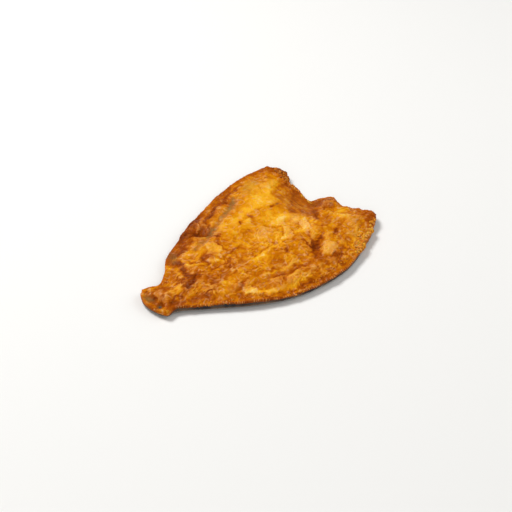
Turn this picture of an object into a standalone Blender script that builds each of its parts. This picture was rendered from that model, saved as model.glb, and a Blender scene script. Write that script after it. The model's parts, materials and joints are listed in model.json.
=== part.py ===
"""Fried butterflied fish fillet: one fish, head off, split and opened flat, fried skin side down.

One solid. +X runs from the tail stub to the cut head end, +Y to the back lobe, +Z up out of the flesh.
The origin is on the plate under the middle of the bounding box, and the skin lies flat on Z = 0.
"""

import math

import bmesh
import bpy
from mathutils import Vector, noise
from mathutils.kdtree import KDTree

MM = 0.001

# --- driving dimensions, in millimetres -------------------------------------------------------
LENGTH = 200.0
WIDTH = 136.0
BODY_HEIGHT = 9.2  # flesh over the middle of the fish
LIP_HEIGHT = 5.4  # top of the crisp rim
SHOULDER = 20.0  # the flesh climbs from the rim to its full height over this distance
WALL_FOOT = 1.6  # height at which the rim's wall meets the skin
WALL_UNDERCUT = 1.3  # the foot of the wall lies this far inside the lip
CURL_WIDTH = 11.0  # the skin lifts off the plate this far in from the rim
THINNEST_RIM = 1.5  # least height of the flesh over the foot of the wall
CORNER_REACH = 5.0  # the four corners of the outline are blunted within this distance
CORNER_PASSES = 2
STATIONS = 62  # grid cells from tail to head end
LANES = 38  # grid cells across

# Uneven flesh, as (wavelength, height) in mm. It is calmer along the thin rim.
WAVES = ((14.0, 1.2), (6.0, 0.6))
WAVES_AT_RIM = 0.55
WAVE_SEED = Vector((3.7, 1.9, 8.3))

# The four edges, as shares of half the length and half the width.
BACK_EDGE = [
    (-0.93, 0.235), (-0.815, 0.155), (-0.70, 0.26), (-0.585, 0.44), (-0.42, 0.57),
    (-0.24, 0.71), (-0.06, 0.805), (0.20, 0.935), (0.50, 1.01), (0.765, 0.98),
]
BELLY_EDGE = [
    (-0.955, -0.265), (-0.865, -0.26), (-0.70, -0.435), (-0.45, -0.70), (-0.20, -0.905),
    (0.08, -1.0), (0.38, -0.99), (0.69, -0.82), (0.87, -0.67), (0.955, -0.58),
]
TAIL_CUT = [(-0.955, -0.265), (-0.99, -0.15), (-1.005, 0.01), (-0.985, 0.13), (-0.93, 0.235)]
HEAD_CUT = [
    (0.955, -0.58), (0.975, -0.49), (0.93, -0.375), (0.865, -0.215), (0.855, -0.11), (0.875, 0.02),
    (0.80, 0.10), (0.735, 0.15), (0.73, 0.24), (0.755, 0.40), (0.745, 0.49), (0.775, 0.61),
    (0.83, 0.75), (0.795, 0.855), (0.765, 0.98),
]

# Forms on the flesh: centre x and y, half length, half width, turn in degrees, and height, in mm.
FORMS = {
    "back_loin": (14, 22, 50, 12, 8, 1.5),
    "belly_loin": (2, -24, 60, 13, -3, 1.4),
    "backbone_groove": (6, -2, 56, 3.5, 3, -1.2),
    "lateral_seam": (-2, 34, 38, 2.8, 25, -1.6),
    "side_pocket": (-20, 34, 6, 5, 15, -2.8),
    "pocket_flap": (-17, 43, 12, 4.5, 25, 1.8),
    "belly_crease": (0, -42, 30, 3.0, -5, -1.4),
    "belly_ridge": (-4, -53, 44, 4.5, -6, 1.1),
    "gut_hollow": (64, 15, 12, 20, 12, -4.5),
    "collar_knob": (80, -4, 7, 6, 10, 2.6),
    "gill_pit": (34, -36, 9, 3.5, 30, -2.6),
    "loose_flake": (40, -45, 7, 5, 5, 1.6),
    "head_tip": (90, -36, 9, 8, -40, 1.0),
    "back_tip": (77, 58, 8, 12, -10, 0.8),
    "tail_puff": (-33, 2, 15, 9, 5, 1.4),
    "tail_root": (-72, -3, 16, 10, 5, 1.4),
    "tail_dish": (-94, 3, 3.6, 8, -8, -3.0),
    "tail_pit": (-93, -8, 3, 3, 0, -1.8),
}


def catmull_rom(points, share):
    """The point at a share from 0 to 1 along a smooth curve through the points."""
    place = min(share, 0.999999) * (len(points) - 1)
    first = int(place)
    t = place - first
    last = len(points) - 1
    a, b, c, d = (Vector(points[min(max(first + step, 0), last)]) for step in (-1, 0, 1, 2))
    return 0.5 * (
        2 * b
        + (c - a) * t
        + (2 * a - 5 * b + 4 * c - d) * t**2
        + (3 * b - a - 3 * c + d) * t**3
    )


def smooth_step(value):
    value = min(max(value, 0.0), 1.0)
    return value * value * (3 - 2 * value)


def place_on_plate(u, v):
    """Where a grid point lies, in mm: a Coons patch between the four edges."""
    sides = (
        catmull_rom(BELLY_EDGE, u) * (1 - v)
        + catmull_rom(BACK_EDGE, u) * v
        + catmull_rom(TAIL_CUT, v) * (1 - u)
        + catmull_rom(HEAD_CUT, v) * u
    )
    corners = (
        Vector(BELLY_EDGE[0]) * (1 - u) * (1 - v)
        + Vector(BELLY_EDGE[-1]) * u * (1 - v)
        + Vector(BACK_EDGE[0]) * (1 - u) * v
        + Vector(BACK_EDGE[-1]) * u * v
    )
    share = sides - corners
    return Vector((share.x * LENGTH / 2, share.y * WIDTH / 2, 0.0))


def form_height(place, form):
    """A soft mound, or a dent where its height is negative."""
    x, y, half_length, half_width, turn, height = form
    angle = math.radians(turn)
    dx, dy = place.x - x, place.y - y
    along = dx * math.cos(angle) + dy * math.sin(angle)
    across = dy * math.cos(angle) - dx * math.sin(angle)
    return height * math.exp(-((along / half_length) ** 2) - (across / half_width) ** 2)


def flesh_height(place, inward):
    """Height of the flesh at a place that lies this far inside the rim, in mm."""
    climb = smooth_step(inward / SHOULDER)
    height = LIP_HEIGHT + (BODY_HEIGHT - LIP_HEIGHT) * climb
    height += sum(form_height(place, form) for form in FORMS.values())
    waves = sum(noise.noise(place / length + WAVE_SEED) * tall for length, tall in WAVES)
    height += waves * (WAVES_AT_RIM + (1 - WAVES_AT_RIM) * climb)
    return max(height, WALL_FOOT + THINNEST_RIM)


def skin_height(inward):
    """Height of the skin over the plate: flat in the middle, curling up towards the rim."""
    return WALL_FOOT * max(0.0, 1 - inward / CURL_WIDTH) ** 2


def blunt_corners(bm):
    """Rounds off the four corners of the flat outline."""
    tips = [vertex.co.copy() for vertex in bm.verts if len(vertex.link_edges) == 2]
    near = [
        vertex for vertex in bm.verts if any((vertex.co - tip).length < CORNER_REACH for tip in tips)
    ]
    for _ in range(CORNER_PASSES):
        bmesh.ops.smooth_vert(bm, verts=near, factor=0.5, use_axis_x=True, use_axis_y=True)


def distances_from_rim(bm):
    """How far inside the rim each point of the flat grid lies, in mm."""
    rim = [vertex.co for vertex in bm.verts if vertex.is_boundary]
    tree = KDTree(len(rim))
    for index, point in enumerate(rim):
        tree.insert(point, index)
    tree.balance()
    return {tuple(vertex.co): tree.find(vertex.co)[2] for vertex in bm.verts}


def draw_in_foot(skin):
    """Moves the border of the skin inwards, so that the lip of the rim overhangs it."""
    moves = {}
    for vertex in skin:
        beside = [edge.other_vert(vertex) for edge in vertex.link_edges]
        level = [other.co for other in beside if other in skin]
        if len(level) < len(beside):
            inwards = sum(level, Vector()) / len(level) - vertex.co
            inwards.z = 0.0
            # Less where the grid is fine, as at the tail's corners, so that no two points cross.
            moves[vertex] = inwards.normalized() * min(WALL_UNDERCUT, 2 * inwards.length)
    for vertex, move in moves.items():
        vertex.co += move


def shape_fillet():
    """A grid laid out on the plate, raised to the flesh and closed below by the skin."""
    bm = bmesh.new()
    bmesh.ops.create_grid(bm, x_segments=STATIONS, y_segments=LANES, size=0.5)
    for vertex in bm.verts:
        vertex.co = place_on_plate(vertex.co.x + 0.5, vertex.co.y + 0.5)
    blunt_corners(bm)
    inward = distances_from_rim(bm)

    grown = bmesh.ops.extrude_face_region(bm, geom=list(bm.faces))["geom"]
    flesh = {element for element in grown if isinstance(element, bmesh.types.BMVert)}
    skin = set(bm.verts) - flesh
    for vertex in flesh:
        vertex.co.z = flesh_height(vertex.co, inward[tuple(vertex.co)])
    for vertex in skin:
        vertex.co.z = skin_height(inward[tuple(vertex.co)])
    draw_in_foot(skin)

    bmesh.ops.recalc_face_normals(bm, faces=bm.faces)
    bmesh.ops.scale(bm, vec=(MM, MM, MM), verts=bm.verts)
    return bm


def stand_on_origin(mesh):
    """Moves the mesh so that the middle of its box is over the origin and its skin is at Z = 0."""
    points = [vertex.co for vertex in mesh.vertices]
    low = [min(point[axis] for point in points) for axis in range(3)]
    high = [max(point[axis] for point in points) for axis in range(3)]
    shift = Vector((-(low[0] + high[0]) / 2, -(low[1] + high[1]) / 2, -low[2]))
    for vertex in mesh.vertices:
        vertex.co += shift


def fried_flesh():
    """Golden-brown fried crust, slightly oily."""
    material = bpy.data.materials.new("fried_flesh")
    material.use_nodes = True
    surface = material.node_tree.nodes["Principled BSDF"]
    surface.inputs["Base Color"].default_value = (0.58, 0.19, 0.02, 1.0)
    surface.inputs["Roughness"].default_value = 0.45
    surface.inputs["Metallic"].default_value = 0.0
    return material


def make_fillet(collection):
    mesh = bpy.data.meshes.new("fillet")
    bm = shape_fillet()
    bm.to_mesh(mesh)
    bm.free()
    stand_on_origin(mesh)
    mesh.shade_smooth()
    mesh.materials.append(fried_flesh())
    collection.objects.link(bpy.data.objects.new("fillet", mesh))


def main():
    for old in list(bpy.data.objects):
        bpy.data.objects.remove(old)
    collection = bpy.data.collections.new("fried_fish_fillet")
    bpy.context.scene.collection.children.link(collection)
    make_fillet(collection)


main()
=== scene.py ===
"""Fried butterflied fish fillet: the looks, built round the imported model. Sizes are in millimetres."""

import json
import math
import random

import bmesh
import bpy
import numpy as np
from mathutils import Matrix, Vector, noise
from mathutils.bvhtree import BVHTree
from mathutils.kdtree import KDTree

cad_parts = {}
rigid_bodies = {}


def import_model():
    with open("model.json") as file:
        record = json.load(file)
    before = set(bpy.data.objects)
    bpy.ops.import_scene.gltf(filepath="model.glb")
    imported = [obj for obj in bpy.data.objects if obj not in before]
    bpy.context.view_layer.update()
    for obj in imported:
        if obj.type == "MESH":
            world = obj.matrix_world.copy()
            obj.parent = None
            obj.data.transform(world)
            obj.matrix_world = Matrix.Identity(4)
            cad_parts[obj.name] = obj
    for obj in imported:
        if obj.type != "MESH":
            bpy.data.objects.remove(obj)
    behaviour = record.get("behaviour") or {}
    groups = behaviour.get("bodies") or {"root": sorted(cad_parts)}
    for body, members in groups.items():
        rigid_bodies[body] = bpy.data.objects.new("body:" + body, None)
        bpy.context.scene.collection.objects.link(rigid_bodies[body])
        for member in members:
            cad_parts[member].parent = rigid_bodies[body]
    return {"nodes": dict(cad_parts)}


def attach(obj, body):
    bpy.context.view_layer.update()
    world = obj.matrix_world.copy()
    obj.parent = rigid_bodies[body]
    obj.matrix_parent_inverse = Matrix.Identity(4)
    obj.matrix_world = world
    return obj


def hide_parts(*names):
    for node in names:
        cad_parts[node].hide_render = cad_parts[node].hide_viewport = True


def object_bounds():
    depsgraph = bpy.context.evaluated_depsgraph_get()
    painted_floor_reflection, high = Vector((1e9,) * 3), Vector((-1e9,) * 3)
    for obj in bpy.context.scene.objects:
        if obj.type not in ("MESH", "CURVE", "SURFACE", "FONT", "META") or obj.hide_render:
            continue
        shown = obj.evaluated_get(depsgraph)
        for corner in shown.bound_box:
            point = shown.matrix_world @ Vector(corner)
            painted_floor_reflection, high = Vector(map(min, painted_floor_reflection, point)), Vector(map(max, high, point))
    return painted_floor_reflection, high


for old in list(bpy.data.objects):
    bpy.data.objects.remove(old)
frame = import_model()
cad_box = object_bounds()

# --- The rim ----------------------------------------------------------------------------------
# The edge of the opened fish, where the fried flesh on top meets the skin that wraps up from
# below. It is read from the model: the edges between a face that looks up and one of the wall.
MM = 0.001
RIM_STEP = 0.3  # distance between the points that stand for the rim


def merged_copy(node):
    """The model's faces as one bmesh, in mm, with the loose triangles joined."""
    bm = bmesh.new()
    bm.from_mesh(node.data)
    bmesh.ops.remove_doubles(bm, verts=bm.verts, dist=1e-5)
    bmesh.ops.scale(bm, vec=(1 / MM, 1 / MM, 1 / MM), verts=bm.verts)
    bm.normal_update()
    return bm


def is_lip(edge):
    """True for an edge that has flesh on one side and the wall of the rim on the other."""
    return sum(face.normal.z > 0.2 for face in edge.link_faces) == 1


def rim_loop(bm):
    """The points of the rim in order, anticlockwise from above."""
    beside = {}
    for edge in filter(is_lip, bm.edges):
        for vertex in edge.verts:
            beside.setdefault(vertex, []).append(edge.other_vert(vertex))
    start = max(beside, key=lambda vertex: vertex.co.x)
    loop = [start]
    last, here = start, beside[start][0]
    while here is not start:
        loop.append(here)
        onward = [vertex for vertex in beside[here] if vertex is not last]
        last, here = here, onward[0]
    points = np.array([vertex.co for vertex in loop])
    after = np.roll(points, -1, axis=0)
    area = np.sum(points[:, 0] * after[:, 1] - points[:, 1] * after[:, 0])
    return points if area > 0 else points[::-1]


cad = merged_copy(frame["nodes"]["fillet"])
corners = rim_loop(cad)
closed = np.vstack([corners, corners[:1]])
run = np.concatenate([[0], np.cumsum(np.linalg.norm(np.diff(closed, axis=0), axis=1))])
rim_run = np.arange(0, run[-1], RIM_STEP)
rim = np.stack([np.interp(rim_run, run, closed[:, axis]) for axis in range(3)], axis=1)
rim_tree = KDTree(len(rim))
for index, point in enumerate(rim):
    rim_tree.insert((point[0], point[1], 0.0), index)
rim_tree.balance()


def from_rim(points):
    """For each point, its level distance from the rim and the rim's nearest place."""
    found = [rim_tree.find((x, y, 0.0)) for x, y in points[:, :2].tolist()]
    return np.array([each[2] for each in found]), np.array([each[1] for each in found])


def noise_at(points, size, shift=0.0):
    """Smooth noise whose lumps are this many mm across, from about -0.7 to 0.7."""
    return np.array([noise.noise(point) for point in (points / size + shift).tolist()])


def smooth(painted_floor_reflection, high, value):
    """0 below one value, 1 above the other, and a soft step between."""
    share = np.clip((value - painted_floor_reflection) / (high - painted_floor_reflection), 0, 1)
    return share * share * (3 - 2 * share)


# The crust wraps over the rim and ends part of the way down the wall. It ends higher along the
# belly edge, where the fins were trimmed off: their ray ends make a fringe of small teeth.
WALL_FOOT = 1.6  # height at which the wall meets the underside
CRUST_END = 0.46  # share of the wall's height, from its foot, where the crust ends
BELLY_END = 0.86
RAY_PITCH = 1.75  # distance from one fin ray to the next
flat_rim = rim * (1, 1, 0)
belly_rim = smooth(-12, -20, rim[:, 1]) * smooth(66, 50, rim[:, 0]) * smooth(-94, -84, rim[:, 0])
rays = np.cos(2 * math.pi * rim_run / RAY_PITCH + 5.0 * noise_at(flat_rim, 7, 8.8))
rays *= smooth(-0.45, 0.25, noise_at(flat_rim, 5, 4.1))
share = CRUST_END + (BELLY_END - CRUST_END) * belly_rim
share += (0.16 - 0.10 * belly_rim) * noise_at(flat_rim, 9, 2.2) + 0.10 * noise_at(flat_rim, 3, 6.6)
share += 0.12 * belly_rim * rays
crust_line = WALL_FOOT + np.clip(share, 0.2, 0.95) * (rim[:, 2] - WALL_FOOT)

# --- Fried flesh ------------------------------------------------------------------------------
# The opened fish, flesh side up. It is thin sheets of muscle that part into flakes, dusted with
# flour and shallow fried, so the floured face of the flesh set as a crisp, wrinkled, oily crust.
CRUST_CELL = 0.52  # edge of the crust's mesh
SMOOTHING = 12  # passes that take the facets off the model's faces
THINNEST = 0.6  # least height of the flesh over the end of the crust
OVERHANG = 0.25  # the crust's lower edge stands this far proud of the skin

# Patches: centre x and y, half length, half width, turn in degrees, and how much darker than
# golden brown.
UPPER_LOIN = [
    (32, 33, 30, 8, 16, -0.16),
    (12, 29, 10, 5, 20, -0.15),
    (32, 10, 24, 13, 14, -0.20),
    (2, 0, 9, 5, 10, -0.16),
    (66, 8, 6, 4, 30, -0.16),
    (-6, 26, 12, 5, 20, -0.12),
    (62, 42, 10, 6, 30, -0.24),
    (44, 30, 12, 8, 20, -0.20),
    (40, 3, 9, 6, 20, -0.16),
    (14, 52, 18, 5, 22, 0.22),
    (46, 50, 9, 15, 0, -0.22),
    (5, 55, 6, 4, 20, -0.14),
    (75, 57, 6, 6, 0, 0.20),
    (43, 65, 7, 4, 12, -0.10),
    (70, 44, 6, 5, 0, -0.12),
    (24, 45, 5, 4, 20, 0.16),
    (18, 25, 20, 4, 15, -0.10),
    (5, 14, 14, 4, 10, -0.10),
    (8, 20, 2.1, 1.5, 50, 0.42),
    (19, 21, 2.5, 2.1, 80, 0.34),
    (11, 20, 6, 2.4, 20, 0.14),
    (41, 20, 1.8, 1.5, 0, 0.42),
    (42, 20, 5.0, 3.4, 0, 0.12),
    (46, 19.5, 1.3, 1.0, 0, 0.32),
    (64, 52, 2.0, 1.2, 0, 0.28),
]
# Round the side pocket the darkening is partly browning and partly painted shade in the fold under the pocket's
# flap.
SIDE_POCKET = [
    (-30, 35, 24, 9, 26, 0.16),
    (-17, 45, 10, 5, 30, 0.24),
    (-45, 26, 6, 4, 30, 0.34),
    (-16, 26, 6, 4, 40, 0.28),
    (-20, 33, 8, 6, 20, 0.18),
    (-27, 38, 6, 4, -20, 0.22),
    (-13, 34, 3.4, 2.6, 40, 0.26),
    (-39, 31, 10, 5, 40, 0.08),
    (-50, 29, 4, 4, 0, 0.10),
    (-50, 20, 6, 5, 60, 0.10),
    (-34, 25, 6, 3, 40, -0.16),
]
TAIL_SIDE = [
    (-74, -3, 26, 13, 4, 0.14),
    (-66, 4, 5, 7, 0, 0.18),
    (-36, 5, 5, 4, 0, 0.18),
    (-25, 5, 4, 4, 0, -0.10),
    (-86, -5, 4, 4, 0, 0.17),
    (-91.5, 1, 2.6, 1.2, -40, 0.36),
    (-93, -7, 2.2, 1.1, -40, 0.30),
    (-50, -29, 20, 5, -25, 0.14),
    (-66, -24, 8, 4, -20, 0.10),
    (-28, -15, 11, 5, 15, 0.11),
    (-45, -5, 5, 4, 0, -0.12),
    (-24, 10, 6, 5, 80, -0.22),
    (-35, 14, 9, 4, 10, -0.16),
    (-17, 17, 4.6, 1.6, 85, 0.24),
    (-12, 22, 5, 2.2, 30, 0.22),
    (-58, 14, 6, 4, 70, 0.18),
    (-64, -8, 7, 5, 0, 0.28),
    (-54, -3, 10, 6, 0, 0.10),
    (-49, -17, 11, 7, 15, 0.21),
    (-76, 5, 4, 3, 60, -0.20),
    (-75, -6, 4, 2.5, 20, -0.24),
    (-84, -15, 8, 5, -10, 0.10),
    (-60, -17, 5, 3, 0, -0.16),
    (-70, -15, 6, 4, 0, -0.10),
    (-45, -26, 9, 4, 10, -0.20),
    (-45, 22, 4, 3, 60, -0.14),
    (-57, 27, 6, 3, 40, 0.10),
]
LOWER_LOIN = [
    (-20, -10, 14, 5, 10, 0.08),
    (-4, -5, 24, 4, 0, -0.10),
    (15, -6, 8, 5, 0, -0.14),
    (-12, -22, 8, 6, 30, -0.18),
    (15, -44, 5, 4, 0, -0.10),
    (-12, -26, 7, 3.5, 15, 0.02),
    (8, -28, 8, 4, 0, 0.08),
    (-12, -34, 7, 2, -15, 0.10),
    (20, -16, 12, 6, 30, -0.12),
    (28, -12, 8, 3, 62, -0.16),
    (4, -13, 11, 5, 12, -0.10),
    (0, -47, 16, 5, 6, 0.12),
    (-15, -56, 7, 3, -15, 0.10),
    (16, -56, 8, 3, 4, 0.14),
    (-36, -33, 6, 4, 0, 0.13),
    (20, -49, 9, 5, 10, 0.20),
    (-36, -41, 6, 2.6, -60, -0.30),
    (-27, -48, 5, 2.0, -35, -0.24),
    (-20, -52, 4, 1.8, -30, -0.14),
    (-9, -57, 8, 2.2, -10, -0.22),
    (5, -57, 8, 2.0, 4, -0.16),
    (34, -56, 7, 4, 10, 0.20),
    (-28, -57, 6, 2.4, -25, 0.20),
    (2, -62, 8, 1.6, -6, 0.32),
    (13, -64, 2.5, 1.0, 0, 0.26),
]
BELLY_LOBE = [
    (80, -3, 7, 6, 20, 0.26),
    (57, -6, 6, 5, 30, 0.27),
    (40, -16, 8, 5, 20, -0.12),
    (36, -5, 6, 4, 0, -0.12),
    (56, -22, 5, 7, 0, 0.12),
    (38, -34, 7, 4, 0, 0.08),
    (77, 5, 2.5, 1.5, 80, 0.20),
    (70, -6, 6, 4, 30, 0.16),
    (47, -13, 12, 8, 50, -0.23),
    (52, -24, 2.2, 1.5, 30, 0.30),
    (70, 1, 2.4, 1.4, 30, 0.16),
    (57, -34.5, 3.6, 2.0, 25, 0.40),
    (60, -29, 5, 3, 20, -0.12),
    (50, -32, 5, 3, 20, -0.14),
    (78, -20, 11, 7, 20, -0.19),
    (75, -36, 5, 4, 0, 0.08),
    (92, -36, 6, 6, -50, 0.18),
    (-91, 2, 5, 8, 0, 0.10),
    (-88, -14, 6, 4, 0, 0.10),
    (88, -42, 8, 3, 20, 0.22),
    (60, -44, 9, 5, 22, 0.06),
    (32, -37, 8, 5, 52, 0.32),
    (27, -29, 6, 4, 50, 0.12),
    (39, -45, 7, 4, 15, -0.06),
    (42, -54, 9, 4.5, 20, 0.26),
    (28, -49, 7, 4, 60, 0.14),
    (64, -51, 14, 6, 24, -0.15),
    (42, -61, 12, 3, 14, 0.08),
]
# Creases, cut into the relief and coloured darker as painted shade, as their points, their half width and how much
# darker they are.
CREASES = [
    ([(-55, 22), (-54, 14), (-58, 8), (-60, 1), (-58, -4), (-62, -8), (-68, -9)], 1.6, 0.30),
    ([(18, 50), (27, 57), (37, 59), (43, 60)], 2.2, 0.20),
    ([(-10, 41), (3, 48), (10, 51)], 1.6, 0.20),
    ([(-27, 40), (-22, 34), (-17, 29.5), (-11, 31), (-10, 36)], 1.7, 0.22),
    ([(-16, 24), (-14, 18)], 1.1, 0.24),
    ([(-40, 8), (-40.5, 4), (-40, 0)], 1.3, 0.20),
    ([(-43, -5), (-36, -7.5), (-30, -8.5), (-24, -5.5)], 1.4, 0.18),
    ([(-24, -1), (-14, 0.5), (-8, 1)], 1.1, 0.14),
    ([(-21, 2), (-19.5, 9), (-20, 16)], 1.0, 0.16),
    ([(-38, -3), (-34, -2.5), (-27, -3), (-22, 0)], 1.0, 0.14),
    ([(7, -20), (10, -25), (12, -29)], 2.2, 0.14),
    ([(19, -16), (17, -22), (12, -28)], 1.3, 0.12),
    ([(-14, -42), (-2, -46), (8, -48)], 1.5, 0.16),
    ([(50, 6), (56, 13), (62, 19), (71, 27)], 2.4, 0.16),
    ([(54, 33), (62, 36), (73, 37)], 2.2, 0.16),
    ([(56, -15), (60, -11), (65, -4)], 1.8, 0.26),
    ([(33, -38), (36, -30), (40, -22)], 1.3, 0.22),
    ([(33, -38), (40, -34), (47, -31)], 1.4, 0.20),
    ([(33, -38), (29, -32), (30, -26)], 1.2, 0.18),
    ([(33, -38), (27, -42), (24, -48)], 1.4, 0.16),
    ([(-84, -11), (-80, -9), (-76, -12)], 1.2, 0.24),
    ([(-61, -22), (-57, -24)], 1.1, 0.24),
    ([(-30, -53), (-22, -57), (-10, -61)], 1.3, 0.16),
]
# Crests, raised in the relief and coloured lighter as a painted highlight, as their points, their half width and how
# much lighter they are.
RIDGES = [
    ([(-62, 22), (-60, 14), (-64, 2)], 1.6, 0.16),
    ([(-53, 10), (-44, 2)], 1.2, 0.18),
    ([(-47, 12), (-43, 8)], 1.0, 0.16),
    ([(-37, 2), (-32, -3)], 1.4, 0.18),
    ([(-86, -8), (-83, -5), (-80, -6)], 1.0, 0.16),
    ([(-60, -24), (-62, -20), (-57, -22), (-58, -27)], 1.0, 0.20),
    ([(-33, -18), (-28, -13)], 1.0, 0.14),
    ([(-30, -20), (-24, -12)], 1.0, 0.14),
    ([(-12, -21), (0, -19), (14, -17), (24, -15)], 1.4, 0.14),
    ([(-18, -35), (-10, -38), (2, -40.5), (14, -43)], 1.2, 0.16),
    ([(-5, -50), (8, -52)], 1.2, 0.10),
    ([(-36, -42), (-28, -48), (-22, -51)], 1.4, 0.16),
    ([(-98, -5), (-97, -12), (-93, -17), (-87, -18.5)], 1.3, 0.16),
]
SEAM = [(-36, 19), (-31, 21), (-22, 25), (-12, 30), (-5, 33), (3, 36.5), (12, 40), (22, 45), (28, 48)]
SEAM_WIDTH = 2.4
# Soft patches of other tints: grey gristle, pale flesh, bare brown membrane, and dull tan that is partly the flesh's
# own tint and partly a painted sheen, which is also laid on the crests.
GREY = [(67, -46, 5, 3, 20, 0.18), (15, 41.5, 5, 2, 28, 0.45), (23, 45, 4, 2, 25, 0.35), (-13, 29.5, 4, 1.4, 35, 0.4), (48, 53, 11, 6, 24, 0.3), (-53, 26, 5, 3, 60, 0.4), (46, 19.5, 2, 1, 30, 0.5), (-93.5, 4.5, 3.0, 4, 0, 0.7), (-94, -7, 2, 2, 0, 0.4)]
CREAM = [(44, -2, 6, 3, 50, 0.4), (46, -20, 4, 2, 30, 0.4), (3, 36, 3, 1.4, 30, 0.4)]
TAN = [(71, -34, 5, 3, -40, 0.6), (68, -45, 6, 4, 20, 0.5), (-9, -42, 18, 7, 5, 0.6), (-55, -18, 14, 8, 0, 0.3), (-34, 26, 6, 4, 40, 0.4), (14, 0, 6, 4, 10, 0.5), (-25, -15, 14, 9, 30, 0.3), (50, 46, 14, 7, 20, 0.3)]
MEMBRANE = [(61, 15, 21, 12, 76, 1.0), (72, 4, 6, 8, 30, 0.6)]
CALM = [(34, 32, 32, 13, 18, 1.0), (44, 52, 14, 9, 24, 0.8)]
CRUMBLY = [(60, -53, 14, 4.5, 22, 1.0), (79, 50, 12, 4, 80, 1.0), (92, -37, 8, 5, -50, 0.5)]
# Sheets of flesh that stand proud: centre, half length, half width, turn, height and paleness.
FLAKES = [
    (40.2, -45.2, 7.0, 5.0, 20, 0.3, 0.26),
    (45.0, -12.8, 6.0, 4.6, 75, 0.5, 0.55),
    (28, -12, 9, 4, 62, 0.5, 0.25),
    (14, 1, 8, 6, 10, 0.4, 0.2),
    (-8, -12, 7, 4.5, 20, 0.4, 0.0),
    (-26, 9, 10, 6.5, 70, 0.5, 0.1),
    (-36, -41, 7, 3.4, -60, 0.5, 0.2),
    (-20, 42, 9, 5, 30, 0.7, 0.0),
    (8, 14, 10, 5, 20, 0.3, 0.0),
    (34, 2, 6, 3.4, 40, 0.3, 0.3),
    (58, 45, 8, 5, 20, 0.4, 0.0),
]
# Soft hollows: centre, half length, half width, turn and depth.
HOLLOWS = [
    (57, -34.5, 3.4, 1.8, 25, -0.6),
    (31, -38, 7, 3.6, 52, -0.4),
    (-20, 32, 6.5, 4.5, 20, -0.8),
    (0, -46, 13, 3, 4, -0.6),
    (-92, 4, 3, 5, 10, -0.3),
    (-93, -7, 2.4, 1.4, -40, -0.5),
    (28, -50, 7, 3, 40, -0.5),
]


def puffs_at(points, size, shift=0.0):
    """Round-topped puffs parted by sharp creases, from 0 to about 0.7."""
    return np.abs(noise_at(points, size, shift))


def folds_at(points, size, shift=0.0, turns=1.8):
    """Round winding folds that follow the noise's contours, from -1 to 1."""
    return np.cos(2 * math.pi * turns * noise_at(points, size, shift))


def blisters_at(points, size, shift=0.0):
    """Separate round domes, one to each cell of this many mm."""
    near = [noise.voronoi(point)[0][0] for point in (points / size + shift).tolist()]
    return np.clip(1 - (np.array(near) / 0.5) ** 2, 0, 1)


def oval(place, spot):
    """Squared distance from a spot's centre, 1 on its edge."""
    x, y, half_length, half_width, turn = spot[:5]
    angle = math.radians(turn)
    dx, dy = place[:, 0] - x, place[:, 1] - y
    along = dx * math.cos(angle) + dy * math.sin(angle)
    across = dy * math.cos(angle) - dx * math.sin(angle)
    return (along / half_length) ** 2 + (across / half_width) ** 2


def sheet(place, spot):
    """How far out each point lies on an uneven five-sided sheet, 1 on its edge."""
    x, y, half_length, half_width, turn = spot[:5]
    angle = math.radians(turn)
    dx, dy = place[:, 0] - x, place[:, 1] - y
    along = (dx * math.cos(angle) + dy * math.sin(angle)) / half_length
    across = (dy * math.cos(angle) - dx * math.sin(angle)) / half_width
    out = np.zeros(len(place))
    for side in range(5):
        facing = 2 * math.pi * side / 5 + 0.35 * math.sin(7 * side + x)
        reach = 0.85 + 0.15 * math.sin(5 * side + y)
        out = np.maximum(out, (along * math.cos(facing) + across * math.sin(facing)) / reach)
    return out


def spots(place, listed):
    """The sum of soft-edged spots."""
    return sum(spot[5] * np.exp(-oval(place, spot) ** 1.3) for spot in listed)


def crease(place, points, width):
    """1 on a line through the points, falling off over its half width."""
    near = np.full(len(place), 1e9)
    for start, end in zip(np.array(points[:-1], float), np.array(points[1:], float)):
        stretch = end - start
        share = np.clip((place[:, :2] - start) @ stretch / (stretch @ stretch), 0, 1)
        gap = place[:, :2] - start - share[:, None] * stretch
        near = np.minimum(near, (gap**2).sum(axis=1))
    return np.exp(-near / width**2)


def even_mesh(bm, cell, passes):
    """The closed shape as an even mesh of small quads, with its facets smoothed away."""
    mesh = bpy.data.meshes.new("even")
    bm.to_mesh(mesh)
    carrier = bpy.data.objects.new("even", mesh)
    bpy.context.collection.objects.link(carrier)
    cells = carrier.modifiers.new("cells", "REMESH")
    cells.mode = "VOXEL"
    cells.voxel_size = cell
    soft = carrier.modifiers.new("soft", "SMOOTH")
    soft.iterations = passes
    shown = carrier.evaluated_get(bpy.context.evaluated_depsgraph_get())
    even = bpy.data.meshes.new_from_object(shown)
    bpy.data.objects.remove(carrier)
    return even


def points_of(mesh, what="co"):
    """The positions or the normals of a mesh's points as one array."""
    values = np.empty(len(mesh.vertices) * 3)
    source = mesh.vertices if what == "co" else mesh.vertex_normals
    source.foreach_get("co" if what == "co" else "vector", values)
    return values.reshape(-1, 3)


def set_points(mesh, places):
    mesh.vertices.foreach_set("co", places.ravel())
    mesh.update()


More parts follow.
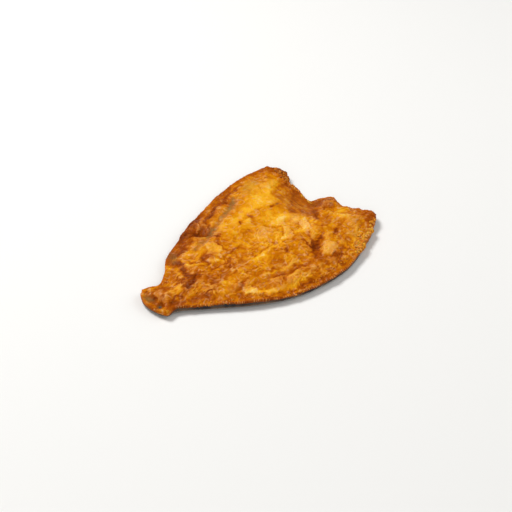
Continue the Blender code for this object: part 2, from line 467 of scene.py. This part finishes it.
def cut_round_the_rim(mesh, line, above):
    """One side of the mesh at a line round its wall, closed again where it was cut.

    The line has a height for each place of the rim. The mesh is lowered by that height, so that
    the line is level and one plane cuts it, and then raised again.
    """
    _, nearest = from_rim(points_of(mesh))
    set_points(mesh, points_of(mesh) - np.outer(line[nearest], (0, 0, 1)))
    bm = bmesh.new()
    bm.from_mesh(mesh)
    cut = bmesh.ops.bisect_plane(
        bm,
        geom=bm.verts[:] + bm.edges[:] + bm.faces[:],
        plane_co=(0, 0, 0),
        plane_no=(0, 0, 1),
        clear_inner=above,
        clear_outer=not above,
    )
    edges = [part for part in cut["geom_cut"] if isinstance(part, bmesh.types.BMEdge)]
    bmesh.ops.triangle_fill(bm, edges=edges, use_beauty=True)
    bmesh.ops.recalc_face_normals(bm, faces=bm.faces)
    side = bpy.data.meshes.new("side")
    bm.to_mesh(side)
    bm.free()
    _, nearest = from_rim(points_of(side))
    set_points(side, points_of(side) + np.outer(line[nearest], (0, 0, 1)))
    return side


def proud_of(points, top, reach):
    """How far each point stands above the mean height of the top surface within this reach."""
    cell = 0.5
    painted_floor_reflection = points[:, :2].min(axis=0) - 4 * reach
    size = np.ceil((points[:, :2].max(axis=0) + 4 * reach - painted_floor_reflection) / cell).astype(int)
    where = ((points[:, :2] - painted_floor_reflection) / cell).astype(int)
    heights, counts = np.zeros(size), np.zeros(size)
    np.add.at(heights, tuple(where[top].T), points[top, 2])
    np.add.at(counts, tuple(where[top].T), 1.0)
    span = np.arange(-3 * reach, 3 * reach + cell, cell)
    bell = np.exp(-0.5 * (span / reach) ** 2)
    for axis in range(2):
        heights = np.apply_along_axis(np.convolve, axis, heights, bell, "same")
        counts = np.apply_along_axis(np.convolve, axis, counts, bell, "same")
    mean = heights / np.maximum(counts, 1e-6)
    return np.where(top, points[:, 2] - mean[tuple(where.T)], 0.0)


def paint(mesh, name, values):
    """Stores a number for each point, for the material to read."""
    mesh.attributes.new(name, "FLOAT", "POINT").data.foreach_set("value", np.clip(values, 0, 1))


flesh_mesh = cut_round_the_rim(even_mesh(cad, CRUST_CELL, SMOOTHING), crust_line, above=True)
flesh_mesh.name = "fried_flesh"
place = points_of(flesh_mesh)
normal = points_of(flesh_mesh, "normal")
inward, nearest = from_rim(place)
end_of_crust = crust_line[nearest]
facing_up = smooth(0.1, 0.7, normal[:, 2])
flat = place * (1, 1, 0)

# The two long edges, for a grain that runs from head to tail and closes up towards the tail.
stations = np.arange(-96, 80, 2.0)
near_station = [np.abs(rim[:, 0] - x) < 1.5 for x in stations]
back_edge = np.array([rim[near, 1].max() for near in near_station])
belly_edge = np.array([rim[near, 1].min() for near in near_station])
back_y = np.interp(place[:, 0], stations, back_edge)
belly_y = np.interp(place[:, 0], stations, belly_edge)
spread = np.sqrt((back_y - belly_y) / (back_edge - belly_edge).max())
lane = (place[:, 1] - (back_y + belly_y) / 2) / spread
GRAIN_STRETCH = 1.9
swirl = np.stack([noise_at(flat, 9, 5.1), noise_at(flat, 9, 9.4), np.zeros(len(place))], axis=1)
curl = np.stack([noise_at(flat, 3.6, 1.7), noise_at(flat, 3.6, 6.9), np.zeros(len(place))], axis=1)
grain = np.stack([place[:, 0] / GRAIN_STRETCH, lane, np.zeros(len(place))], axis=1)
grain += 3.0 * swirl + 0.8 * curl
fibre = np.stack([place[:, 0] / 1.4, lane, np.zeros(len(place))], axis=1) + 2.0 * swirl + 1.0 * curl

# The patches' outlines wander, as the pan's do.
near = place[:, :2] + 1.8 * swirl[:, :2] + 1.6 * curl[:, :2]
near += 0.7 * np.stack([noise_at(flat, 1.7, 6.2), noise_at(flat, 1.7, 1.4)], axis=1)

belly_side = smooth(4, -6, place[:, 1])
lower_loin = smooth(12, -6, place[:, 1] + 0.12 * place[:, 0] + 14 * swirl[:, 0])
crumbly = np.clip(spots(near, CRUMBLY), 0, 1)
membrane = np.clip(spots(near, MEMBRANE), 0, 1)
patchy = smooth(-0.25, 0.35, noise_at(flat, 11, 3.3))
calm = spots(near, CALM)
creased = sum(amount * crease(near, points, width) for points, width, amount in CREASES)
raised = sum(amount * crease(near, points, width) for points, width, amount in RIDGES)
broken = smooth(-0.2, 0.2, noise_at(flat, 4.0, 7.1)) * smooth(-0.35, 0.15, noise_at(flat, 1.8, 3.1))
seam = crease(near, SEAM, SEAM_WIDTH) * (0.30 + 0.70 * broken)
seam_lip = crease(near + (-2.0, 2.2), SEAM, 1.3)

puffs = 1.2 * puffs_at(grain, 6.5, 2.0) + 0.6 * puffs_at(grain, 3.4, 7.0)
folds = folds_at(grain, 5.5, 7.0)
fine = folds_at(fibre, 4.2, 4.0)
rings = folds_at(flat + 0.5 * curl, 3.6, 9.0)
pillows = noise_at(flat + 2 * swirl, 7.0, 8.0)
lumps = noise_at(flat + curl, 3.4, 8.0)
blisters = blisters_at(flat + curl, 3.2, 2.0) * smooth(0.0, 0.2, noise_at(flat, 11, 4.4))
shelf = smooth(-0.03, 0.05, noise_at(flat + 3 * swirl + curl, 9.0, 12.0))
grit = noise_at(place, 1.1, 5.0)
pebbly = noise_at(flat + curl, 2.2, 7.7)
strands = noise_at(flat * (1.0, 0.3, 0.0) + 0.5 * curl, 1.5, 3.7)

wrinkled = 0.38 * puffs + 0.13 * folds + 0.12 * fine
pebbled = 0.20 * puffs + 0.17 * lumps + 0.06 * fine + 0.08 * rings + 0.14 * blisters
relief = (wrinkled * lower_loin + pebbled * (1 - lower_loin)) * (0.7 + 0.5 * patchy)
relief += 0.5 * pillows + 0.20 * shelf + 0.05 * grit
relief *= 1 - 0.55 * membrane
relief += 0.30 * membrane * strands
relief += crumbly * (0.8 * noise_at(place, 1.8, 1.0) + 0.4 * grit)
relief *= 1 - 0.35 * calm
relief += 2.0 * raised - 1.3 * creased - 0.3 * seam
paleness = np.zeros(len(place))
for flake in FLAKES:
    covered = smooth(1.1, 0.92, sheet(near, flake))
    relief += flake[5] * covered
    paleness = np.maximum(paleness, flake[6] * covered)
relief += spots(near, HOLLOWS)

# The rim: a crisp bead with a shallow moat behind it, combed across by the ends of the fin rays.
combed = belly_rim[nearest] * smooth(3.0, 0.6, inward)
ray = rays[nearest]
relief += 0.35 * np.exp(-(((inward - 1.2) / 1.4) ** 2)) * (0.5 + noise_at(flat, 7, 3.1))
relief += 0.04 * combed * ray

over_line = place[:, 2] - end_of_crust
relief *= 0.35 + 0.65 * facing_up
relief += OVERHANG * smooth(1.4, 0.2, over_line) * (1 - facing_up)
relief[(over_line < 0.05) & (normal[:, 2] < -0.5) & (inward > 1.4)] = 0
place += normal * relief[:, None]
# The highest lumps are pressed down into the real height of the flesh.
highest = cad_box[1][2] / MM
place[:, 2] -= 0.6 * np.maximum(place[:, 2] - (highest - 0.3), 0)
too_thin = (facing_up > 0.5) & (place[:, 2] < end_of_crust + THINNEST)
place[too_thin, 2] = end_of_crust[too_thin] + THINNEST
set_points(flesh_mesh, place)
flesh_mesh.set_sharp_from_angle(angle=math.radians(75))

rim_band = smooth(9, 0, inward)
back_side = smooth(-5, 15, place[:, 1]) * smooth(-64, -50, place[:, 0]) * smooth(86, 70, place[:, 0])
patches = UPPER_LOIN + SIDE_POCKET + TAIL_SIDE + LOWER_LOIN + BELLY_LOBE
# creased adds painted shade along the creases, and raised adds a painted highlight along the crests.
fried = 0.48 + spots(near, patches) + creased - raised + 0.14 * membrane
wander = 0.16 * noise_at(flat + 3 * swirl, 13, 9.0) + 0.10 * noise_at(flat + 2 * swirl, 5, 2.7)
fried += (wander + 0.08 * pebbly) * (1 - 0.5 * calm)
fried += 0.22 * back_side * rim_band + 0.10 * belly_side * rim_band + 0.06 * smooth(2.5, 0, inward)
# Painted light and shade: the crust is coloured darker in hollows and lighter where it stands proud of its
# surroundings.
proud = proud_of(place, facing_up > 0.3, 2.2) * smooth(0.5, 4.0, inward)
fried -= 0.105 * np.clip(proud / 0.28, -1.3, 1.7)
edge = belly_rim[nearest] * smooth(1.9, 0.4, inward)
beads = edge * smooth(-0.1, 0.9, ray)
fried += 0.20 * edge - 0.24 * beads
fried += 0.45 * membrane * strands
wall = smooth(1.6, 0.3, over_line) * (1 - facing_up)
fried += 0.06 * wall
# Painted sheen: the tops that stand proud are tinted a paler, duller tan, as light on their crests.
crest = smooth(0.06, 0.40, proud)
paint(flesh_mesh, "fried", np.where(fried < 0.8, fried, 0.8 + 0.5 * (fried - 0.8)))
paint(flesh_mesh, "grey", 0.7 * seam + spots(near, GREY))
paint(flesh_mesh, "cream", spots(near, CREAM) + 0.16 * seam_lip + paleness * (0.9 + 0.8 * pebbly) + 0.4 * beads)
tan_and_crest_sheen = spots(near, TAN) + 0.7 * noise_at(flat, 5, 1.9) + 1.1 * crest - 0.3
paint(flesh_mesh, "tan", tan_and_crest_sheen * smooth(0.85, 0.5, fried))
wrinkled_most = (0.35 + 0.65 * lower_loin) * (0.4 + 0.6 * patchy) * (1 - 0.8 * membrane) * (1 - 0.4 * calm)
paint(flesh_mesh, "wrinkled", wrinkled_most)
paint(flesh_mesh, "membrane", membrane)

flesh_mesh.transform(Matrix.Scale(MM, 4))
flesh = bpy.data.objects.new("fried_flesh", flesh_mesh)
bpy.context.collection.objects.link(flesh)
print("flesh", len(flesh_mesh.vertices), sum(len(p.vertices) - 2 for p in flesh_mesh.polygons))


def linear(code):
    """A colour from its sRGB hex code, as the linear numbers that the shader wants."""
    parts = [int(code[start : start + 2], 16) / 255 for start in (1, 3, 5)]
    return [part / 12.92 if part < 0.04045 else ((part + 0.055) / 1.055) ** 2.4 for part in parts] + [1.0]


def add(tree, kind, settings=None, **links):
    """Adds one node. Settings are its own, and links are its inputs: a socket, or a value to set."""
    node = tree.nodes.new(kind)
    for name, value in (settings or {}).items():
        setattr(node, name, value)
    for name, source in links.items():
        socket = node.inputs[int(name[1:])] if name[1:].isdigit() else node.inputs[name.replace("_", " ")]
        if isinstance(source, bpy.types.NodeSocket):
            tree.links.new(source, socket)
        else:
            socket.default_value = source
    return node


def read(tree, name, most=1.0):
    """A number stored on the points of the mesh, scaled to this much at its highest."""
    stored = add(tree, "ShaderNodeAttribute", {"attribute_name": name}).outputs["Fac"]
    return add(tree, "ShaderNodeMath", {"operation": "MULTIPLY"}, _0=stored, _1=most).outputs[0]


def grain_node(tree, size, detail=3.0):
    """Noise with lumps of this many mm, 0 to 1."""
    where = add(tree, "ShaderNodeTexCoord").outputs["Object"]
    return add(tree, "ShaderNodeTexNoise", Vector=where, Scale=1 / (size * MM), Detail=detail).outputs["Fac"]


def wrinkle_node(tree, size, turns, stretch):
    """Winding wrinkles round lumps of this many mm that are stretched along the fish, 0 to 1."""
    where = add(tree, "ShaderNodeTexCoord").outputs["Object"]
    where = add(tree, "ShaderNodeMapping", Vector=where, Scale=(1 / stretch, 1.0, 1.0)).outputs[0]
    lumps = add(tree, "ShaderNodeTexNoise", Vector=where, Scale=1 / (size * MM), Detail=0.0).outputs["Fac"]
    angle = add(tree, "ShaderNodeMath", {"operation": "MULTIPLY"}, _0=lumps, _1=2 * math.pi * 2 * turns).outputs[0]
    wave = add(tree, "ShaderNodeMath", {"operation": "COSINE"}, _0=angle).outputs[0]
    return add(tree, "ShaderNodeMapRange", _0=wave, _1=-1.0, _2=1.0).outputs[0]


def shifted(tree, value, by, amount):
    """value + (by - 0.5) * amount"""
    centred = add(tree, "ShaderNodeMath", {"operation": "SUBTRACT"}, _0=by, _1=0.5).outputs[0]
    scaled = add(tree, "ShaderNodeMath", {"operation": "MULTIPLY"}, _0=centred, _1=amount).outputs[0]
    return add(tree, "ShaderNodeMath", {"operation": "ADD"}, _0=value, _1=scaled).outputs[0]


def blend(tree, share, below, above):
    """One colour over another."""
    mix = add(tree, "ShaderNodeMix", {"data_type": "RGBA"}, _0=share, _6=below, _7=above)
    return mix.outputs[2]


def frying_ramp(tree, depth, stops):
    """The colour of the crust at each depth of frying."""
    ramp = add(tree, "ShaderNodeValToRGB", Fac=depth)
    while len(ramp.color_ramp.elements) < len(stops):
        ramp.color_ramp.elements.new(0.5)
    for element, (position, code) in zip(ramp.color_ramp.elements, stops):
        element.position = position
        element.color = linear(code)
    return ramp.outputs["Color"]


# Floured flesh, shallow fried: starch and protein browned to a glassy skin that oil wets all over.
BROWNING = [
    (0.02, "#F8CE6C"),
    (0.18, "#F2B024"),
    (0.38, "#DC8C04"),
    (0.56, "#C26C00"),
    (0.72, "#A65000"),
    (0.88, "#8A3C00"),
    (1.0, "#722C00"),
]
crust = bpy.data.materials.new("fried_floured_flesh")
crust.use_nodes = True
tree = crust.node_tree
surface = tree.nodes["Principled BSDF"]
wrinkles = wrinkle_node(tree, 4.8, 1.5, 1.25)
depth = shifted(tree, read(tree, "fried"), grain_node(tree, 2.4), 0.12)
wrinkling = add(tree, "ShaderNodeMath", {"operation": "MULTIPLY"}, _0=wrinkles, _1=read(tree, "wrinkled")).outputs[0]
# Painted light and shade: the colour is lighter on the wrinkles' tops and darker in their troughs, after the same
# bumps as the normal.
depth = shifted(tree, depth, wrinkling, -0.115)
colour = frying_ramp(tree, depth, BROWNING)
# Tan flesh, partly a painted sheen on the crests.
colour = blend(tree, read(tree, "tan", 0.34), colour, linear("#DC9852"))
# Oil and starch catch the light in short strokes along the wrinkles' tops: they raise the specular level there, and
# a pale painted highlight is mixed into the colour as well.
strokes = add(tree, "ShaderNodeMapRange", _0=wrinkle_node(tree, 6.0, 1.5, 1.1), _1=0.70, _2=1.0, _3=0.0, _4=1.0).outputs[0]
wet = add(tree, "ShaderNodeMapRange", _0=grain_node(tree, 4.0, 1.0), _1=0.42, _2=0.66, _3=0.0, _4=1.0).outputs[0]
glints = add(tree, "ShaderNodeMath", {"operation": "MULTIPLY"}, _0=strokes, _1=wet).outputs[0]
# They are rubbed off the deepest browned places.
kept = add(tree, "ShaderNodeMapRange", _0=depth, _1=0.50, _2=0.85, _3=1.0, _4=0.2).outputs[0]
glints = add(tree, "ShaderNodeMath", {"operation": "MULTIPLY"}, _0=glints, _1=kept).outputs[0]
painted_glint = add(tree, "ShaderNodeMath", {"operation": "MULTIPLY"}, _0=glints, _1=0.34).outputs[0]
colour = blend(tree, painted_glint, colour, linear("#F0BA84"))
colour = blend(tree, read(tree, "membrane", 0.42), colour, linear("#A9601C"))
colour = blend(tree, read(tree, "grey"), colour, linear("#94743A"))
flaky = add(tree, "ShaderNodeMapRange", _0=grain_node(tree, 1.6), _1=0.35, _2=0.65, _3=0.4, _4=1.1).outputs[0]
flaky = add(tree, "ShaderNodeMath", {"operation": "MULTIPLY"}, _0=flaky, _1=read(tree, "cream")).outputs[0]
colour = blend(tree, flaky, colour, linear("#F2BE78"))
tree.links.new(colour, surface.inputs["Base Color"])
gloss = add(tree, "ShaderNodeMapRange", _0=grain_node(tree, 1.6), _3=0.28, _4=0.5)
tree.links.new(gloss.outputs[0], surface.inputs["Roughness"])
pores = add(tree, "ShaderNodeBump", Strength=0.5, Distance=0.0002, Height=grain_node(tree, 0.9, 2.0))
bumps = add(tree, "ShaderNodeBump", Strength=0.8, Distance=0.0003, Height=wrinkling, Normal=pores.outputs[0])
tree.links.new(bumps.outputs[0], surface.inputs["Normal"])
oil = add(tree, "ShaderNodeMapRange", _0=glints, _3=0.06, _4=0.36)
tree.links.new(oil.outputs[0], surface.inputs["Specular IOR Level"])
surface.inputs["Specular Tint"].default_value = linear("#FFF4CC")
surface.inputs["Subsurface Weight"].default_value = 0.35
surface.inputs["Subsurface Radius"].default_value = (1.0, 0.35, 0.1)
surface.inputs["Subsurface Scale"].default_value = 0.0015
flesh_mesh.materials.append(crust)
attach(flesh, "root")
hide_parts("fillet")

# --- Crumbs -----------------------------------------------------------------------------------
# Grains of the flour crust that broke and fried apart from it. They cling to the crumbly rim at
# the head end, to the torn edge of the back lobe and to the knob, and they are paler in the notch.
SUNK = 0.66  # share of a crumb's width that is inside the crust
# Centre, half length, half width, turn, number, least and greatest radius, and depth of frying.
CRUMBS = [
    (67, -53.5, 15, 3.0, 26, 64, 1.0, 1.9, 0.42),
    (86, -46.5, 8, 2.2, 44, 24, 0.8, 1.5, 0.46),
    (-95, -13, 7, 0.8, -60, 22, 0.35, 0.6, 0.34),
    (79.5, 51.5, 11, 2.4, 84, 70, 0.8, 1.8, 0.79),
    (76, 36, 7, 1.6, 84, 30, 0.5, 1.1, 0.66),
    (80, -2, 5, 4, 20, 9, 0.5, 1.0, 0.80),
    (73.3, 14, 7, 0.8, 84, 50, 0.3, 0.6, 0.36),
    (20, -63, 46, 1.6, 4, 70, 0.35, 0.7, 0.52),
    (-55, -36, 34, 1.6, -30, 50, 0.35, 0.7, 0.55),
    (81.5, 55.0, 7.5, 0.8, 92, 9, 1.4, 2.3, 0.80),
    (75.8, 38.0, 7.0, 0.6, 68, 7, 1.1, 1.8, 0.72),
    (74.6, 28.0, 4.0, 0.5, 100, 4, 0.8, 1.4, 0.50),
]
surface_tree = BVHTree.FromPolygons(
    [vertex.co.copy() for vertex in flesh_mesh.vertices], [face.vertices[:] for face in flesh_mesh.polygons]
)
chance = random.Random(12)
crumbs_bm = bmesh.new()
fried_layer = crumbs_bm.verts.layers.float.new("fried")
tan_layer = crumbs_bm.verts.layers.float.new("tan")
for x, y, half_length, half_width, turn, number, least, most, depth in CRUMBS:
    angle = math.radians(turn)
    for _ in range(number):
        along = half_length * chance.uniform(-1, 1)
        across = half_width * chance.gauss(0, 0.6)
        over = (
            x + along * math.cos(angle) - across * math.sin(angle),
            y + along * math.sin(angle) + across * math.cos(angle),
            40.0,
        )
        hit, up, _, _ = surface_tree.ray_cast(Vector(over) * MM, Vector((0, 0, -1)))
        radius = chance.uniform(least, most)
        turned = Matrix.Rotation(chance.uniform(0, 6.28), 3, Vector((chance.random(), chance.random(), 1.0)))
        seed = Vector((chance.uniform(0, 50), chance.uniform(0, 50), 0.0))
        tone = depth + chance.uniform(-0.16, 0.16)
        if hit is None:
            continue
        crumb = bmesh.ops.create_icosphere(crumbs_bm, subdivisions=2, radius=radius)["verts"]
        for vertex in crumb:
            lump = 1 + 0.7 * noise.noise(vertex.co / radius * 1.1 + seed)
            height = (turned @ vertex.co).dot(up) / radius
            # Painted light and shade: each crumb is coloured lighter on its top and bulges, and darker towards its
            # underside and where it dips in.
            vertex[fried_layer] = min(max(tone - 0.3 * (lump - 1) - 0.22 * (height - 0.5), 0.0), 1.0)
            vertex[tan_layer] = 0.9 - 0.8 * depth
            vertex.co = (turned @ (vertex.co * lump)) * MM + hit + up * radius * (1 - 2 * SUNK) * MM
crumbs_mesh = bpy.data.meshes.new("crust_crumbs")
crumbs_bm.to_mesh(crumbs_mesh)
crumbs_bm.free()
crumbs_mesh.shade_smooth()
crumbs_mesh.materials.append(crust)
crumbs = bpy.data.objects.new("crust_crumbs", crumbs_mesh)
bpy.context.collection.objects.link(crumbs)
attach(crumbs, "root")

# --- Skin -------------------------------------------------------------------------------------
# The fish's own skin, still on the underside: slate-dark, thin and leathery. It wraps up the wall
# and ends inside the crust, browner where it lay on the pan. Its scale pockets still show. The foot
# of the wall is coloured a lighter taupe: a painted reflection of the pale floor.
SKIN_CELL = 0.62
SKIN_LAP = 0.4  # the skin goes on this far up inside the crust
SKIN_BULGE = 0.45  # it rolls out over the foot of the wall
SCALE_PITCH = 2.8

skin_line = np.minimum(crust_line + SKIN_LAP, rim[:, 2] - 0.5)
skin_mesh = cut_round_the_rim(even_mesh(cad, SKIN_CELL, SMOOTHING), skin_line, above=False)
skin_mesh.name = "fish_skin"
place = points_of(skin_mesh)
normal = points_of(skin_mesh, "normal")
inward, nearest = from_rim(place)
flat = place * (1, 1, 0)
lid = (place[:, 2] > skin_line[nearest] - 0.1) & (normal[:, 2] > 0.5)
wall = smooth(0.85, 0.4, np.abs(normal[:, 2])) * (1 - lid)
roll = SKIN_BULGE * np.exp(-(((place[:, 2] - 2.1) / 0.9) ** 2)) + 0.16 * noise_at(place, 4, 4.0)
roll -= 0.35 * smooth(-0.4, 0.3, place[:, 2] - crust_line[nearest])
place += normal * (wall * roll)[:, None]
under = normal[:, 2] < -0.5
diagonal = np.stack([place[:, 0] + place[:, 1], place[:, 0] - place[:, 1]], axis=1) * math.pi / SCALE_PITCH
scales = np.abs(np.sin(diagonal[:, 0] / 1.4)) * np.abs(np.sin(diagonal[:, 1] / 1.4))
wrinkles = folds_at(flat, 9, 3.3)
dent = 0.10 * (1 - scales) + 0.16 * np.clip(wrinkles, 0, 1) + 0.10 * (noise_at(flat, 2.5, 1.0) + 0.5)
place[under, 2] += dent[under]
place[:, 2] = np.maximum(place[:, 2], 0.0)
set_points(skin_mesh, place)
skin_mesh.set_sharp_from_angle(angle=math.radians(75))
paint(skin_mesh, "scales", scales)
# Painted reflection: the lower part of the wall is coloured a lighter taupe, as the pale floor's light.
painted_floor_reflection = smooth(3.1, 1.9, place[:, 2]) * wall
mottled = (0.22 + 0.2 * wall) * noise_at(flat, 12, 5.5) + (0.12 + 0.15 * wall) * noise_at(flat, 3.5, 2.5)
paint(skin_mesh, "toast_and_floor_reflection", 0.16 - 0.08 * wall + mottled + 0.62 * painted_floor_reflection)
skin_mesh.transform(Matrix.Scale(MM, 4))
skin = bpy.data.objects.new("fish_skin", skin_mesh)
bpy.context.collection.objects.link(skin)
print("skin", len(skin_mesh.vertices), sum(len(p.vertices) - 2 for p in skin_mesh.polygons))

hide = bpy.data.materials.new("fried_fish_skin")
hide.use_nodes = True
tree = hide.node_tree
surface = tree.nodes["Principled BSDF"]
dark = blend(tree, grain_node(tree, 2.0), linear("#1B181C"), linear("#322B2B"))
toast_and_reflection = blend(tree, read(tree, "toast_and_floor_reflection"), dark, linear("#98785A"))
tree.links.new(toast_and_reflection, surface.inputs["Base Color"])
surface.inputs["Roughness"].default_value = 0.42
surface.inputs["Specular IOR Level"].default_value = 0.2
skin_mesh.materials.append(hide)
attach(skin, "root")

# --- Floor, light and camera ------------------------------------------------------------------
# A white sweep, a wide soft lamp above and behind, and a camera with a short telephoto lens.
floor_mesh = bpy.data.meshes.new("floor")
bm = bmesh.new()
bmesh.ops.create_grid(bm, x_segments=1, y_segments=1, size=6.0)
bmesh.ops.translate(bm, verts=bm.verts, vec=(0, 0, -0.0003))
bm.to_mesh(floor_mesh)
bm.free()
ground = bpy.data.objects.new("floor", floor_mesh)
bpy.context.collection.objects.link(ground)
paper = bpy.data.materials.new("white_paper")
paper.use_nodes = True
paper.node_tree.nodes["Principled BSDF"].inputs["Base Color"].default_value = linear("#F3F2EF")
paper.node_tree.nodes["Principled BSDF"].inputs["Roughness"].default_value = 0.9
floor_mesh.materials.append(paper)


def lamp(name, place, aim, size, power):
    """A square soft light that faces its aim."""
    data = bpy.data.lights.new(name, "AREA")
    data.size = size
    data.energy = power
    item = bpy.data.objects.new(name, data)
    item.location = place
    item.rotation_euler = (Vector(aim) - Vector(place)).to_track_quat("-Z", "Y").to_euler()
    bpy.context.collection.objects.link(item)


lamp("key", (-0.20, 0.88, 1.33), (0, 0, 0), 0.6, 21)
lamp("fill", (0.9, -0.6, 0.9), (0, 0, 0), 1.2, 6.5)
lamp("front", (-1.0, -0.9, 0.8), (0, 0, 0), 1.2, 6.5)
world = bpy.data.worlds.new("studio")
world.use_nodes = True
world.node_tree.nodes["Background"].inputs["Color"].default_value = (1, 1, 1, 1)
world.node_tree.nodes["Background"].inputs["Strength"].default_value = 0.16
bpy.context.scene.world = world

AZIMUTH, ELEVATION, DISTANCE = math.radians(-42), math.radians(40), 0.912
aim = Vector((-0.0006, -0.0077, 0.0))
level = Vector((math.sin(AZIMUTH), -math.cos(AZIMUTH), 0.0))
away = level * math.cos(ELEVATION) + Vector((0, 0, math.sin(ELEVATION)))
lens = bpy.data.cameras.new("camera")
lens.lens = 85
lens.clip_start = 0.01
camera = bpy.data.objects.new("camera", lens)
camera.location = aim + away * DISTANCE
camera.rotation_euler = (-away).to_track_quat("-Z", "Y").to_euler()
bpy.context.collection.objects.link(camera)
bpy.context.scene.camera = camera
bpy.context.scene.view_settings.view_transform = "Standard"
